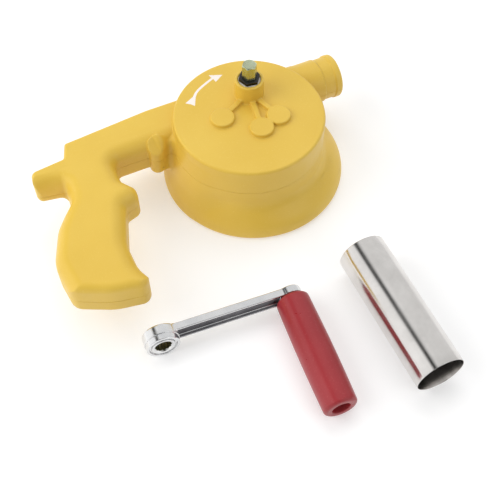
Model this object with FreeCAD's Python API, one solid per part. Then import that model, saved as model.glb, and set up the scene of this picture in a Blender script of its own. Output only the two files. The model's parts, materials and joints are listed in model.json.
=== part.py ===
"""Hand-cranked pistol-grip air blower, with its loose crank handle and outlet tube.

Units are millimetres. +Z is up. The origin is the impeller axis where it meets the
plane that the flared base stands on. +X is the way the air leaves the nozzle, and the
pistol grip hangs towards -Y. Each function below makes one sub-part.
"""
import FreeCAD, Part
import math
import os
from FreeCAD import Vector

# ---- Housing: two clamshell halves that meet at the parting plane ------------------
WALL = 2.4
PARTING_Z = 36.0
DRUM_R = 51.2
DISC_Z = 57.3
DISC_EDGE_R = 1.6
FLARE_TOP_Z = 27.0
RIM_R = 65.4
RIM_Z = 4.6
TURNED_IN = 2.4
RIM_CENTRE = Vector(2.4, -1.2, 0)

# ---- Handle (barrel, tang and pistol grip) ------------------------------------------
HANDLE_LOW_Z = 22.8
HANDLE_TOP_Z = 51.2
HANDLE_EDGE_R = 5.0
BARREL_NEAR_Y = 10.0
LUG = Vector(-65.6, 8.4, 0)
LUG_R = 5.5
LUG_TOP_Z = 49.2
LUG_EDGE_R = 2.0
FAR_LUG = Vector(-12.0, 53.0, 0)
FAR_LUG_R = 4.8
FAR_LUG_TOP_Z = 43.0

# ---- Nozzle ---------------------------------------------------------------------------
NOZZLE_Y = 26.5
NOZZLE_Z = PARTING_Z
NOZZLE_R = 15.9
NOZZLE_START_X = 20.0
NOZZLE_END_X = 81.7
NOZZLE_LIP_EDGE_R = 1.8
NOZZLE_ROOT_R = 16.3
NOZZLE_ROOT_END_X = 52.5
GROOVE_R = 15.1
GROOVE_X = (69.6, 76.4)
NOZZLE_BORE_R = 13.2
NOZZLE_BORE_START_X = 22.0

# ---- Gear train ----------------------------------------------------------------------
MODULE = 1.0
PRESSURE_ANGLE = math.radians(25.0)
ADDENDUM = 0.80
DEDENDUM = 1.10
BACKLASH = 0.24
CRANK_TEETH = 45
CRANK_HUB_R = 7.0
CRANK_WEB_HOLE_R = 4.2
CRANK_WEB_CIRCLE_R = 14.2
FIRST_PINION_TEETH = 14
IDLER_WHEEL_TEETH = 22
SMALL_PINION_TEETH = 10
TOP_LEVEL = (50.2, 54.0)
MID_LEVEL = (45.8, 49.6)
LOW_LEVEL = (41.6, 45.4)
SECOND_IDLER_BEARING = -82.4
FIRST_IDLER_BEARING = 18.8
SHAFT_BEARING = 108.0

# ---- Shafts -------------------------------------------------------------------------
RUNNING_GAP = 0.05
END_FLOAT = 0.2
SHAFT_R = 4.5
HEX_FLATS = 9.2
HEX_TURN = -9.0
BOSS_R = 10.2
BOSS_TOP_Z = 72.0
SHAFT_TIP_Z = 85.6
NUT_FLATS = 12.4
NUT_Z = (71.6, 74.5)
WASHER_R = 8.7
BOSS_RECESS_R = 8.9
BOSS_RECESS_Z = 70.8
HEX_TIP_BEVEL = 1.1
SMALL_SHAFT_R = 2.0
SMALL_SHAFT_CHAMFER = 0.3
AXLE_IN_DISC = 1.0
BUSH_WALL = 1.5
BUSH_FLANGE = 0.6
SHAFT_BUSH_FLANGE_R = 8.0
PAD_R = 8.4
PAD_HEIGHT = 2.9
RIB_WIDTH = 3.6
RIB_BELOW_PAD = 0.4
BOSS_EDGE_R = 0.8
PAD_EDGE_R = 0.9

# ---- Gear plate, impeller and inlet cover -------------------------------------------
PLATE_Z = (37.4, 40.0)
PLATE_R = 48.3
PLATE_SHAFT_BOSS_R = 7.6
PLATE_IMPELLER_BOSS_R = 6.0
PLATE_IMPELLER_BOSS_Z = 33.2
IMPELLER_R = 40.0
IMPELLER_Z = (10.0, 32.4)
IMPELLER_HUB_R = 6.0
IMPELLER_DISC = 2.0
IMPELLER_BLADES = 10
BLADE_THICKNESS = 1.6
INLET_EYE_R = 17.0
INLET_EYE_DEPTH = 9.0
CLIP_R = 4.4
CLIP_THICKNESS = 0.8
COVER_R = 60.3
COVER_THICKNESS = 2.4
COVER_HUB_R = 6.5
COVER_HUB_Z = 8.2
COVER_HUB_FLOOR = 1.6
COVER_RING_R = (36.0, 38.0)
COVER_RING_Z = 4.4
INLET_SLOTS = 18
INLET_SLOT_WIDTH = 3.4
INLET_SLOT_R = (12.5, 31.0)

# ---- Screws ---------------------------------------------------------------------------
SCREW_R = 1.5
SCREW_HEAD_R = 2.9
SCREW_HEAD_HEIGHT = 2.2
SCREW_HEAD_EDGE_R = 0.9
HEAD_POCKET_R = 3.2
HEAD_POCKET_Z = 27.5
COUNTERSINK_DEPTH = 1.6
POST_R = 4.2
POST_ROOT = 1.0
COVER_POST_R = 3.8
COVER_POST_TOP_Z = 22.0
HANDLE_SCREW_TIP_Z = 45.2
FAR_LUG_SCREW_TIP_Z = 40.0
PLATE_SCREW_TIP_Z = 48.0
COVER_SCREW_TIP_Z = 11.0
PILOT_BEYOND_TIP = 1.0

# ---- Crank handle (its own frame: +X along the arm, +Z along the grip) ---------------
ARM_LENGTH = 89.0
SOCKET_R = 11.8
SOCKET_DEPTH = 11.0
SOCKET_FLATS = HEX_FLATS + 0.3
ARM_WIDTH = 13.5
ARM_THICKNESS = 5.4
ARM_CHANNEL_DEPTH = 3.0
ARM_FLANGE = 1.8
ARM_EDGE_R = 0.8
ARM_END_R = 8.2
SOCKET_EDGE_R = 1.2
SOCKET_MOUTH_R = (5.0, 6.4)
SOCKET_MOUTH_DEPTH = 1.0
GRIP_R = 11.8
GRIP_END_R = 11.3
GRIP_LENGTH = 81.5
GRIP_START = ARM_THICKNESS + 1.2
GRIP_END_ROUND = 2.4
GRIP_POCKET_R = 6.0
GRIP_POCKET_DEPTH = 9.0
GRIP_POCKET_FLOOR = GRIP_START + GRIP_LENGTH - GRIP_POCKET_DEPTH
SPINDLE_R = 3.0
SPINDLE_TIP = GRIP_POCKET_FLOOR + 3.0
SPINDLE_ROOT = 1.0
RIVET_DOME_R = 6.4
RIVET_EDGE_R = 5.6
RIVET_DOME_CENTRE = 3.2
SPINDLE_WASHER_R = 6.6
SPINDLE_WASHER_THICKNESS = 0.8
CAP_R = 5.2
CAP_LEVEL = (0.4, 2.2)

# ---- Outlet tube ----------------------------------------------------------------------
TUBE_OUTER_R = 16.6
TUBE_INNER_R = 16.0
TUBE_LENGTH = 100.0

# ---- Where the loose pieces lie on the ground ---------------------------------------
SOCKET_ON_GROUND = Vector(-113.9, -107.4, SOCKET_R)
GRIP_TURN = -4.8
TUBE_ON_GROUND = Vector(31.9, -110.6, TUBE_OUTER_R)

ORIGIN = Vector(0, 0, 0)
Z_AXIS = Vector(0, 0, 1)
X_AXIS = Vector(1, 0, 0)
THROUGH_PLATE = (30.0, 45.0)
THROUGH_GEARS = (30.0, 60.0)


def polar(radius, degrees, z=0.0):
    angle = math.radians(degrees)
    return Vector(radius * math.cos(angle), radius * math.sin(angle), z)


def centre_distance(teeth_a, teeth_b):
    return MODULE * (teeth_a + teeth_b) / 2.0


IMPELLER_AXIS = ORIGIN
SECOND_IDLER_AXIS = polar(centre_distance(IDLER_WHEEL_TEETH, SMALL_PINION_TEETH),
                          SECOND_IDLER_BEARING)
FIRST_IDLER_AXIS = SECOND_IDLER_AXIS + polar(
    centre_distance(IDLER_WHEEL_TEETH, SMALL_PINION_TEETH), FIRST_IDLER_BEARING)
SHAFT_AXIS = FIRST_IDLER_AXIS + polar(
    centre_distance(CRANK_TEETH, FIRST_PINION_TEETH), SHAFT_BEARING)
SPARE_PAD = Vector(-18.7, 3.2, 0)
PLATE_POST_CIRCLE_R = 41.6
PLATE_POSTS = [SPARE_PAD] + [polar(PLATE_POST_CIRCLE_R, angle) for angle in (-118.0, -30.0, 22.0)]
COVER_POST_CIRCLE_R = 55.5
COVER_POSTS = [RIM_CENTRE + polar(COVER_POST_CIRCLE_R, angle)
               for angle in (10.0, 100.0, 190.0, 280.0)]
HANDLE_POSTS = [Vector(-112.0, 22.0, 0), Vector(-128.0, -20.0, 0), Vector(-134.0, -72.0, 0)]
SPINDLE_AXIS = Vector(ARM_LENGTH, 0, 0)


# ---- Small helpers --------------------------------------------------------------------
def cylinder(radius, z_low, z_high, centre=ORIGIN):
    base = Vector(centre.x, centre.y, z_low)
    return Part.makeCylinder(radius, z_high - z_low, base, Z_AXIS)


def ring(outer_r, inner_r, z_low, z_high, centre=ORIGIN):
    return cylinder(outer_r, z_low, z_high, centre).cut(
        cylinder(inner_r, z_low - 1, z_high + 1, centre))


def cylinder_along_x(radius, x_low, x_high, y, z):
    return Part.makeCylinder(radius, x_high - x_low, Vector(x_low, y, z), X_AXIS)


def polygon_prism(sides, flats, z_low, z_high, centre=ORIGIN, turn=0.0):
    corner_r = flats / 2.0 / math.cos(math.pi / sides)
    step = 360.0 / sides
    points = [centre + polar(corner_r, turn + step * i) for i in range(sides + 1)]
    face = Part.Face(Part.makePolygon(points))
    face.translate(Vector(0, 0, z_low - centre.z))
    return face.extrude(Vector(0, 0, z_high - z_low))


def level_edges(shape, z):
    """The edges that lie flat at height z."""
    return [e for e in shape.Edges
            if abs(e.BoundBox.ZMin - z) < 1e-6 and abs(e.BoundBox.ZMax - z) < 1e-6]


def round_level(shape, radius, *levels):
    for z in levels:
        shape = shape.makeFillet(radius, level_edges(shape, z))
    return shape


def fuse_all(shapes):
    whole = shapes[0]
    if len(shapes) > 1:
        whole = whole.fuse(shapes[1:])
    return whole.removeSplitter()


def rounded_outline(corners):
    """Closed wire of straight runs joined by tangent arcs; a corner is (x, y, radius)."""
    count = len(corners)
    joints = []
    for i, (x, y, radius) in enumerate(corners):
        here = Vector(x, y, 0)
        before = Vector(corners[i - 1][0], corners[i - 1][1], 0)
        after = Vector(corners[(i + 1) % count][0], corners[(i + 1) % count][1], 0)
        to_before = (before - here).normalize()
        to_after = (after - here).normalize()
        half = to_before.getAngle(to_after) / 2.0
        reach = radius / math.tan(half)
        bisector = (to_before + to_after).normalize()
        middle = here + bisector * (radius / math.sin(half) - radius)
        joints.append((here + to_before * reach, middle, here + to_after * reach))
    edges = []
    for i, (start, middle, end) in enumerate(joints):
        edges.append(Part.Arc(start, middle, end).toShape())
        following = joints[(i + 1) % count][0]
        if end.distanceToPoint(following) > 1e-4:
            edges.append(Part.LineSegment(end, following).toShape())
    return Part.Wire(edges)


def prism(outline, z_low, z_high, inset=0.0):
    face = Part.Face(outline)
    if inset:
        face = face.makeOffset2D(-inset)
    face.translate(Vector(0, 0, z_low))
    return face.extrude(Vector(0, 0, z_high - z_low))


# ---- Housing ---------------------------------------------------------------------------
def skirt_profile(rim_r, top_r):
    """Side of the skirt, from the drum wall at the top to the rounded rim on the ground."""
    sweep = Part.BezierCurve()
    sweep.setPoles([Vector(top_r, 0, FLARE_TOP_Z), Vector(top_r + 0.4, 0, 18.0),
                    Vector(rim_r - 2.2, 0, 15.5), Vector(rim_r, 0, RIM_Z)])
    return sweep


def drum(inset=0.0):
    """Drum on a skirt that sweeps out to a rounded rim, set a little off the drum's axis."""
    top_r = DRUM_R - inset
    rim_r = RIM_R - inset
    edge_r = max(DISC_EDGE_R - inset, 0.4)
    can = round_level(cylinder(top_r, FLARE_TOP_Z, DISC_Z - inset), edge_r, DISC_Z - inset)
    sweep = skirt_profile(rim_r, top_r)
    rings = [(top_r, FLARE_TOP_Z, 0.0)]
    for step in (0.15, 0.3, 0.45, 0.6, 0.75, 0.9, 1.0):
        point = sweep.value(step)
        rings.append((point.x, point.z, step * step * (3 - 2 * step)))
    sections = [Part.Wire(Part.makeCircle(r, RIM_CENTRE * shift + Vector(0, 0, z), Z_AXIS))
                for r, z, shift in rings]
    skirt = Part.makeLoft(sections, True, False)
    foot = round_level(cylinder(rim_r, 0.0, RIM_Z, RIM_CENTRE), TURNED_IN, 0.0)
    return can.fuse([skirt, foot])


def handle_outline():
    """Barrel running back from the drum, stepped down to the tang, and the pistol grip."""
    return rounded_outline([
        (-20.0, 39.9, 6.5),
        (-62.0, 39.9, 80.0),
        (-126.0, 35.0, 5.2),
        (-128.8, 24.6, 4.0),
        (-153.2, 22.2, 5.4),
        (-153.2, 12.2, 5.2),
        (-134.0, 5.8, 5.0),
        (-135.0, -10.0, 10.0),
        (-149.8, -29.0, 30.0),
        (-159.8, -53.0, 30.0),
        (-157.4, -77.4, 9.0),
        (-134.0, -88.9, 40.0),
        (-104.9, -94.4, 6.5),
        (-112.4, -77.0, 25.0),
        (-112.6, -57.0, 34.0),
        (-103.0, -28.6, 5.0),
        (-92.4, -25.6, 5.5),
        (-91.6, -17.4, 5.5),
        (-98.2, -8.4, 6.0),
        (-98.2, BARREL_NEAR_Y, 6.0),
        (-20.0, BARREL_NEAR_Y, 6.5),
    ])


def boss_and_pads():
    """Shaft boss with three raised pads on the disc, tied to the boss by straight ribs."""
    boss = cylinder(BOSS_R, DISC_Z - WALL, BOSS_TOP_Z, SHAFT_AXIS)
    pieces = [round_level(boss, BOSS_EDGE_R, BOSS_TOP_Z)]
    for pad in (SPARE_PAD, SECOND_IDLER_AXIS, FIRST_IDLER_AXIS):
        top = DISC_Z + PAD_HEIGHT
        disc = round_level(cylinder(PAD_R, DISC_Z - WALL, top, pad), PAD_EDGE_R, top)
        span = SHAFT_AXIS - pad
        rib = Part.makeBox(span.Length, RIB_WIDTH, WALL + PAD_HEIGHT - RIB_BELOW_PAD,
                           Vector(0, -RIB_WIDTH / 2.0, 0))
        rib.rotate(ORIGIN, Z_AXIS, math.degrees(math.atan2(span.y, span.x)))
        rib.translate(Vector(pad.x, pad.y, DISC_Z - WALL))
        pieces += [disc, rib]
    return pieces


def nozzle_outer():
    """Straight pipe beside the drum's axis, with a root collar, and a groove behind its lip."""
    pipe = cylinder_along_x(NOZZLE_R, NOZZLE_START_X, NOZZLE_END_X, NOZZLE_Y, NOZZLE_Z)
    pipe = pipe.makeFillet(NOZZLE_LIP_EDGE_R, [e for e in pipe.Edges
                                               if abs(e.BoundBox.XMin - NOZZLE_END_X) < 1e-6])
    root = cylinder_along_x(NOZZLE_ROOT_R, NOZZLE_START_X, NOZZLE_ROOT_END_X, NOZZLE_Y, NOZZLE_Z)
    groove = cylinder_along_x(NOZZLE_R + 2, *GROOVE_X, NOZZLE_Y, NOZZLE_Z).cut(
        cylinder_along_x(GROOVE_R, *GROOVE_X, NOZZLE_Y, NOZZLE_Z))
    return pipe.fuse(root).cut(groove)


def air_passage():
    """Bore of the nozzle; inside the drum it stays below the gear plate."""
    bore = cylinder_along_x(NOZZLE_BORE_R, NOZZLE_BORE_START_X, NOZZLE_END_X + 1,
                            NOZZLE_Y, NOZZLE_Z)
    gear_room = cylinder(DRUM_R, PLATE_Z[0], DISC_Z)
    return bore.cut(gear_room)


def housing_screw_places():
    """Axis and tip height of each screw that holds the two halves together."""
    places = [(centre, HANDLE_SCREW_TIP_Z) for centre in [LUG] + HANDLE_POSTS]
    return places + [(FAR_LUG, FAR_LUG_SCREW_TIP_Z)]


def housing_outer():
    handle = prism(handle_outline(), HANDLE_LOW_Z, HANDLE_TOP_Z)
    handle = round_level(handle, HANDLE_EDGE_R, HANDLE_LOW_Z, HANDLE_TOP_Z)
    lug = cylinder(LUG_R, HANDLE_LOW_Z, LUG_TOP_Z, LUG)
    lug = round_level(lug, LUG_EDGE_R, HANDLE_LOW_Z, LUG_TOP_Z)
    far_lug = cylinder(FAR_LUG_R, HANDLE_LOW_Z, FAR_LUG_TOP_Z, FAR_LUG)
    return fuse_all([drum(), handle, lug, far_lug, nozzle_outer()] + boss_and_pads())


def housing_shell():
    """Both halves together, hollow, before they are parted."""
    drum_room = drum(WALL)
    handle_room = prism(handle_outline(), HANDLE_LOW_Z + WALL, HANDLE_TOP_Z - WALL, WALL)
    handle_room = handle_room.cut(drum())
    shell = housing_outer().cut(drum_room).cut(handle_room).cut(air_passage())
    posts = [cylinder(POST_R, HANDLE_LOW_Z + POST_ROOT, HANDLE_TOP_Z - POST_ROOT, p)
             for p in HANDLE_POSTS]
    posts += [cylinder(POST_R, PLATE_Z[1], DISC_Z - POST_ROOT, p) for p in PLATE_POSTS]
    posts += [cylinder(COVER_POST_R, COVER_THICKNESS, COVER_POST_TOP_Z, p).common(drum())
              for p in COVER_POSTS]
    shell = shell.fuse(posts)
    holes = []
    for centre, tip in housing_screw_places():
        holes.append(cylinder(SCREW_R, HANDLE_LOW_Z - 1, tip + PILOT_BEYOND_TIP, centre))
        holes.append(cylinder(HEAD_POCKET_R, HANDLE_LOW_Z - 1, HEAD_POCKET_Z, centre))
    for centre in PLATE_POSTS:
        holes.append(cylinder(SCREW_R, PLATE_Z[1] - 1, PLATE_SCREW_TIP_Z + PILOT_BEYOND_TIP, centre))
    for centre in COVER_POSTS:
        holes.append(cylinder(SCREW_R, COVER_THICKNESS - 1, COVER_SCREW_TIP_Z + PILOT_BEYOND_TIP,
                              centre))
    return shell.cut(holes)


def parting_slab(z_low, z_high):
    return Part.makeBox(400, 400, z_high - z_low, Vector(-200, -200, z_low))


def upper_housing(shell):
    upper = shell.common(parting_slab(PARTING_Z, SHAFT_TIP_Z))
    under_disc = DISC_Z - WALL - 1
    bush_r = SHAFT_R + RUNNING_GAP + BUSH_WALL
    holes = [cylinder(bush_r, under_disc, BOSS_RECESS_Z + 1, SHAFT_AXIS),
             cylinder(BOSS_RECESS_R, BOSS_RECESS_Z, BOSS_TOP_Z + 1, SHAFT_AXIS)]
    for axle in (FIRST_IDLER_AXIS, SECOND_IDLER_AXIS):
        holes.append(cylinder(SMALL_SHAFT_R, under_disc, DISC_Z + AXLE_IN_DISC, axle))
    return upper.cut(holes)


def lower_housing(shell):
    return shell.common(parting_slab(-1.0, PARTING_Z))


def gear_plate():
    """Round plate between the gears and the impeller, with bosses for the two bushes."""
    plate = cylinder(PLATE_R, *PLATE_Z)
    plate = plate.fuse([cylinder(PLATE_SHAFT_BOSS_R, PARTING_Z, PLATE_Z[1], SHAFT_AXIS),
                        cylinder(PLATE_IMPELLER_BOSS_R, PLATE_IMPELLER_BOSS_Z, PLATE_Z[1])])
    holes = [cylinder(SHAFT_R + RUNNING_GAP + BUSH_WALL, *THROUGH_PLATE, SHAFT_AXIS),
             cylinder(SMALL_SHAFT_R + RUNNING_GAP + BUSH_WALL, *THROUGH_PLATE)]
    holes += [cylinder(SMALL_SHAFT_R, *THROUGH_PLATE, axle)
              for axle in (FIRST_IDLER_AXIS, SECOND_IDLER_AXIS)]
    holes += [cylinder(SCREW_R, *THROUGH_PLATE, post) for post in PLATE_POSTS]
    return plate.cut(holes).removeSplitter()


def inlet_cover():
    """Flat grille that closes the base, with a blind hub for the impeller's lower bush."""
    cover = cylinder(COVER_R, 0.0, COVER_THICKNESS, RIM_CENTRE)
    inner_r, outer_r = COVER_RING_R
    cover = cover.fuse([cylinder(COVER_HUB_R, 0.0, COVER_HUB_Z),
                        ring(outer_r, inner_r, 0.0, COVER_RING_Z)])
    holes = [cylinder(SMALL_SHAFT_R + RUNNING_GAP + BUSH_WALL, COVER_HUB_FLOOR, COVER_HUB_Z + 1)]
    step = 360.0 / INLET_SLOTS
    start, end = INLET_SLOT_R
    half = INLET_SLOT_WIDTH / 2
    for i in range(INLET_SLOTS):
        web = Part.makeBox(end - start, INLET_SLOT_WIDTH, COVER_RING_Z + 2, Vector(start, -half, -1))
        web.rotate(ORIGIN, Z_AXIS, step * i)
        holes += [web] + [cylinder(half, -1, COVER_RING_Z + 1, polar(r, step * i))
                          for r in (start, end)]
    for post in COVER_POSTS:
        holes.append(cylinder(SCREW_R + 0.1, -1, COVER_THICKNESS + 1, post))
        holes.append(Part.makeCone(SCREW_HEAD_R + 0.2, SCREW_R + 0.1, COUNTERSINK_DEPTH, post, Z_AXIS))
    return cover.cut(holes).removeSplitter()


# ---- Bushes, washers and axles ---------------------------------------------------------
def flanged_bush(bore_r, z_low, z_high, flange_z, centre, flange_r):
    sleeve = ring(bore_r + RUNNING_GAP + BUSH_WALL, bore_r + RUNNING_GAP, z_low, z_high, centre)
    flange = ring(flange_r, bore_r + RUNNING_GAP, *flange_z, centre)
    return sleeve.fuse(flange).removeSplitter()


def boss_bush():
    roof = DISC_Z - WALL
    return flanged_bush(SHAFT_R, roof - BUSH_FLANGE, BOSS_RECESS_Z, (roof - BUSH_FLANGE, roof),
                        SHAFT_AXIS, SHAFT_BUSH_FLANGE_R)


def plate_bush():
    top = PLATE_Z[1]
    return flanged_bush(SHAFT_R, PARTING_Z, top + BUSH_FLANGE, (top, top + BUSH_FLANGE),
                        SHAFT_AXIS, SHAFT_BUSH_FLANGE_R)


def impeller_upper_bush():
    top = PLATE_Z[1]
    return flanged_bush(SMALL_SHAFT_R, PLATE_IMPELLER_BOSS_Z, top + BUSH_FLANGE,
                        (top, top + BUSH_FLANGE), IMPELLER_AXIS, 4.2)


def impeller_lower_bush():
    top = COVER_HUB_Z
    return flanged_bush(SMALL_SHAFT_R, COVER_HUB_FLOOR, top + BUSH_FLANGE,
                        (top, top + BUSH_FLANGE), IMPELLER_AXIS, 5.2)


def small_shaft(z_low, z_high, centre):
    """Plain round pin with both ends chamfered."""
    pin = cylinder(SMALL_SHAFT_R, z_low, z_high, centre)
    return pin.makeChamfer(SMALL_SHAFT_CHAMFER, level_edges(pin, z_low) + level_edges(pin, z_high))


def idler_axle(centre):
    return small_shaft(PLATE_Z[0], DISC_Z + AXLE_IN_DISC - 0.4, centre)


# ---- Gears -------------------------------------------------------------------------------
def involute(angle):
    return math.tan(angle) - angle


def gear_outline(teeth, turn):
    """Closed wire of one spur gear; a tooth is centred on the angle turn, in radians."""
    pitch_r = MODULE * teeth / 2.0
    base_r = pitch_r * math.cos(PRESSURE_ANGLE)
    tip_r = pitch_r + ADDENDUM * MODULE
    root_r = pitch_r - DEDENDUM * MODULE
    flank_r = max(base_r, root_r)
    half_at_pitch = math.pi / (2 * teeth) - BACKLASH / (4 * pitch_r)

    def half_angle(radius):
        return half_at_pitch + involute(PRESSURE_ANGLE) - involute(math.acos(base_r / radius))

    def point(radius, angle):
        return Vector(radius * math.cos(angle), radius * math.sin(angle), 0)

    middle_r = (flank_r + tip_r) / 2.0
    pitch_angle = 2 * math.pi / teeth
    edges = []
    for i in range(teeth):
        axis = turn + i * pitch_angle
        foot = half_angle(flank_r)
        tip = half_angle(tip_r)
        if flank_r > root_r:
            edges.append(Part.LineSegment(point(root_r, axis - foot),
                                          point(flank_r, axis - foot)).toShape())
        edges.append(Part.Arc(point(flank_r, axis - foot), point(middle_r, axis - half_angle(middle_r)),
                              point(tip_r, axis - tip)).toShape())
        edges.append(Part.Arc(point(tip_r, axis - tip), point(tip_r, axis),
                              point(tip_r, axis + tip)).toShape())
        edges.append(Part.Arc(point(tip_r, axis + tip), point(middle_r, axis + half_angle(middle_r)),
                              point(flank_r, axis + foot)).toShape())
        if flank_r > root_r:
            edges.append(Part.LineSegment(point(flank_r, axis + foot),
                                          point(root_r, axis + foot)).toShape())
        next_foot = axis + pitch_angle - foot
        edges.append(Part.Arc(point(root_r, axis + foot), point(root_r, axis + pitch_angle / 2),
                              point(root_r, next_foot)).toShape())
    return Part.Wire(edges)


def toothed_wheel(teeth, level, centre, turn):
    face = Part.Face(gear_outline(teeth, turn))
    face.translate(Vector(centre.x, centre.y, level[0]))
    return face.extrude(Vector(0, 0, level[1] - level[0]))


def meshed_turn(driver_teeth, driver_turn, driver_centre, teeth, centre):
    """Turn that puts a gap of this gear on the driver's tooth, along the line of centres."""
    line = centre - driver_centre
    toward = math.atan2(line.y, line.x)
    return toward + math.pi + (math.pi - (driver_turn - toward) * driver_teeth) / teeth


CRANK_TURN = 0.0
FIRST_TURN = meshed_turn(CRANK_TEETH, CRANK_TURN, SHAFT_AXIS, FIRST_PINION_TEETH, FIRST_IDLER_AXIS)
SECOND_TURN = meshed_turn(IDLER_WHEEL_TEETH, FIRST_TURN, FIRST_IDLER_AXIS,
                          SMALL_PINION_TEETH, SECOND_IDLER_AXIS)
IMPELLER_TURN = meshed_turn(IDLER_WHEEL_TEETH, SECOND_TURN, SECOND_IDLER_AXIS,
                            SMALL_PINION_TEETH, IMPELLER_AXIS)


def crank_gear():
    """Large wheel on the crank shaft, lightened by six round holes, on a long hub."""
    wheel = toothed_wheel(CRANK_TEETH, TOP_LEVEL, SHAFT_AXIS, CRANK_TURN)
    wheel = wheel.fuse(cylinder(CRANK_HUB_R, PLATE_Z[1] + 0.8, TOP_LEVEL[1], SHAFT_AXIS))
    holes = [cylinder(SHAFT_R, *THROUGH_GEARS, SHAFT_AXIS)]
    holes += [cylinder(CRANK_WEB_HOLE_R, *THROUGH_GEARS,
                       SHAFT_AXIS + polar(CRANK_WEB_CIRCLE_R, 60 * i)) for i in range(6)]
    return wheel.cut(holes).removeSplitter()


def compound_gear(wheel_teeth, wheel_level, pinion_teeth, pinion_level, centre, turn, hubs):
    """Wheel and pinion moulded as one piece, with plain hubs that space it on its axle."""
    pieces = [toothed_wheel(wheel_teeth, wheel_level, centre, turn),
              toothed_wheel(pinion_teeth, pinion_level, centre, turn)]
    pieces += [cylinder(radius, z_low, z_high, centre) for radius, z_low, z_high in hubs]
    gear = pieces[0].fuse(pieces[1:])
    bore = cylinder(SMALL_SHAFT_R + RUNNING_GAP, *THROUGH_GEARS, centre)
    return gear.cut(bore).removeSplitter()


def first_idler_gear():
    hubs = [(3.3, PLATE_Z[1] + END_FLOAT, MID_LEVEL[0]), (5.6, MID_LEVEL[1], TOP_LEVEL[0]),
            (4.0, TOP_LEVEL[1], DISC_Z - WALL - END_FLOAT)]
    return compound_gear(IDLER_WHEEL_TEETH, MID_LEVEL, FIRST_PINION_TEETH, TOP_LEVEL,
                         FIRST_IDLER_AXIS, FIRST_TURN, hubs)


def second_idler_gear():
    hubs = [(4.0, PLATE_Z[1] + END_FLOAT, LOW_LEVEL[0]), (3.7, LOW_LEVEL[1], MID_LEVEL[0]),
            (3.3, MID_LEVEL[1], DISC_Z - WALL - END_FLOAT)]
    return compound_gear(IDLER_WHEEL_TEETH, LOW_LEVEL, SMALL_PINION_TEETH, MID_LEVEL,
                         SECOND_IDLER_AXIS, SECOND_TURN, hubs)


def impeller_pinion():
    pinion = toothed_wheel(SMALL_PINION_TEETH, LOW_LEVEL, IMPELLER_AXIS, IMPELLER_TURN)
    pinion = pinion.fuse(cylinder(3.6, PLATE_Z[1] + BUSH_FLANGE + END_FLOAT, LOW_LEVEL[0]))
    return pinion.cut(cylinder(SMALL_SHAFT_R, *THROUGH_GEARS)).removeSplitter()


# ---- Crank shaft and impeller -----------------------------------------------------------
def crank_shaft():
    """Round journal, then the hexagonal shank that the crank handle fits, with a bevelled tip."""
    journal = cylinder(SHAFT_R, PARTING_Z + END_FLOAT, NUT_Z[0] + 0.5, SHAFT_AXIS)
    shank = polygon_prism(6, HEX_FLATS, NUT_Z[0], SHAFT_TIP_Z, SHAFT_AXIS, HEX_TURN)
    corner_r = HEX_FLATS / math.sqrt(3.0)
    tip_low = SHAFT_TIP_Z - corner_r
    cone = Part.makeCone(2 * corner_r - HEX_TIP_BEVEL, corner_r - HEX_TIP_BEVEL, corner_r,
                         Vector(SHAFT_AXIS.x, SHAFT_AXIS.y, tip_low), Z_AXIS)
    outside = cylinder(2 * corner_r, tip_low, SHAFT_TIP_Z, SHAFT_AXIS).cut(cone)
    return journal.fuse(shank.cut(outside)).removeSplitter()


def lock_nut():
    """Black hexagonal collar that keys onto the shank above the boss and turns with it."""
    nut = polygon_prism(6, NUT_FLATS, *NUT_Z, SHAFT_AXIS, HEX_TURN)
    return nut.cut(polygon_prism(6, HEX_FLATS, BOSS_RECESS_Z, SHAFT_TIP_Z, SHAFT_AXIS, HEX_TURN))


def thrust_washer():
    """Pale washer under the collar, just below the rim of the boss."""
    return ring(WASHER_R, SHAFT_R, BOSS_RECESS_Z + 0.1, NUT_Z[0], SHAFT_AXIS)


def impeller_shaft():
    return small_shaft(COVER_HUB_FLOOR + 0.4, LOW_LEVEL[1] + 2.4, IMPELLER_AXIS)


def impeller():
    """Back disc with straight radial blades; the blades are cut away round the inlet eye."""
    z_low, z_high = IMPELLER_Z
    disc_low = z_high - IMPELLER_DISC
    hub = cylinder(IMPELLER_HUB_R, z_low, z_high)
    pieces = [cylinder(IMPELLER_R, disc_low, z_high), hub]
    swept = cylinder(IMPELLER_R, z_low, disc_low)
    for i in range(IMPELLER_BLADES):
        blade = Part.makeBox(IMPELLER_R, BLADE_THICKNESS, disc_low - z_low,
                             Vector(0, -BLADE_THICKNESS / 2, z_low))
        blade.rotate(ORIGIN, Z_AXIS, 360.0 / IMPELLER_BLADES * i)
        pieces.append(blade.common(swept))
    wheel = pieces[0].fuse(pieces[1:])
    eye = Part.makeCone(INLET_EYE_R, IMPELLER_HUB_R, INLET_EYE_DEPTH, Vector(0, 0, z_low), Z_AXIS)
    return wheel.cut([eye.cut(hub), cylinder(SMALL_SHAFT_R, 0, 60)]).removeSplitter()


def impeller_clip():
    """Spring clip under the impeller hub."""
    return ring(CLIP_R, SMALL_SHAFT_R, IMPELLER_Z[0] - CLIP_THICKNESS, IMPELLER_Z[0])


# ---- Screws -------------------------------------------------------------------------------
def cross_recess(centre, head_low, length, width, depth):
    """The two crossed slots of a driver recess, opening downwards at head_low."""
    slots = []
    for x, y in ((length, width), (width, length)):
        slots.append(Part.makeBox(x, y, depth + 1, Vector(centre.x - x / 2, centre.y - y / 2,
                                                         head_low - 1)))
    return slots


def pan_screw(centre, head_low, tip):
    """Pan-head screw pointing up, head at the bottom."""
    head = cylinder(SCREW_HEAD_R, head_low, head_low + SCREW_HEAD_HEIGHT, centre)
    head = round_level(head, SCREW_HEAD_EDGE_R, head_low)
    shank = cylinder(SCREW_R, head_low + SCREW_HEAD_HEIGHT, tip, centre)
    return head.fuse(shank).cut(cross_recess(centre, head_low, 3.2, 0.8, 1.2))


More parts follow.
